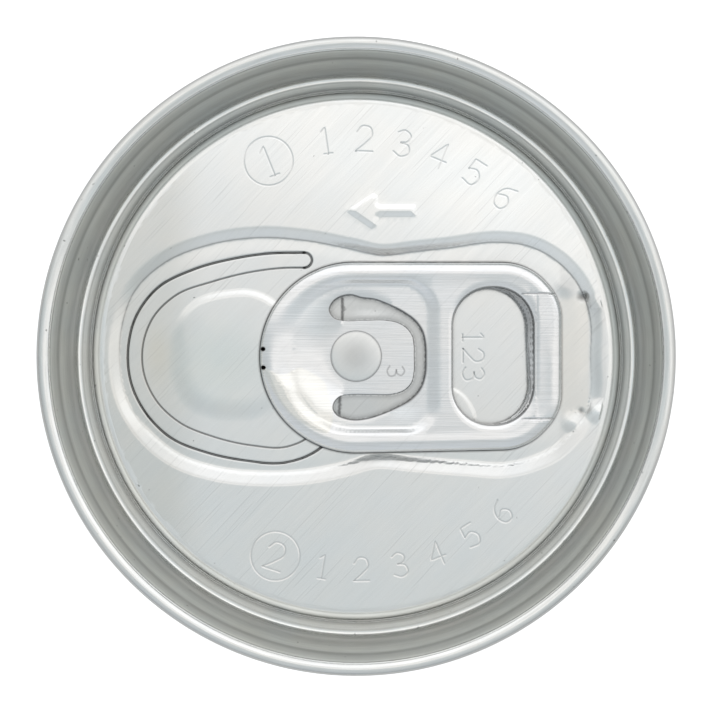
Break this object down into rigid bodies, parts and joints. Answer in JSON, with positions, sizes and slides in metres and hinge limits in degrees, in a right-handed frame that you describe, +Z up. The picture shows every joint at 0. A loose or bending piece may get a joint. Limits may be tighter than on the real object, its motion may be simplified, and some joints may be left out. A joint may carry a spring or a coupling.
{
  "type": "sealed drinks can",
  "caption": "Tall slim aluminium drinks can, sealed, with a double-seamed lid, scored tear panel and stay-on pull tab staked by a rivet.",
  "frame": {"origin": "centre of the stand ring, on the surface that the can stands on", "axes": "+Z up along the can's axis to the seam; the tab's nose and the tear panel lie towards -X, the finger hole towards +X"},
  "size_m": [0.0574, 0.0574, 0.1458],
  "materials": {
    "body_metal": "bare drawn aluminium, fine vertical ironing marks",
    "lid_metal": "clear-coated aluminium, fine diagonal rolling grain",
    "tab_metal": "bare aluminium, fine lengthwise grain"
  },
  "bodies": {
    "root": {"can_body": "body_metal", "can_end": "lid_metal", "tab": "tab_metal"}
  },
  "joints": []
}
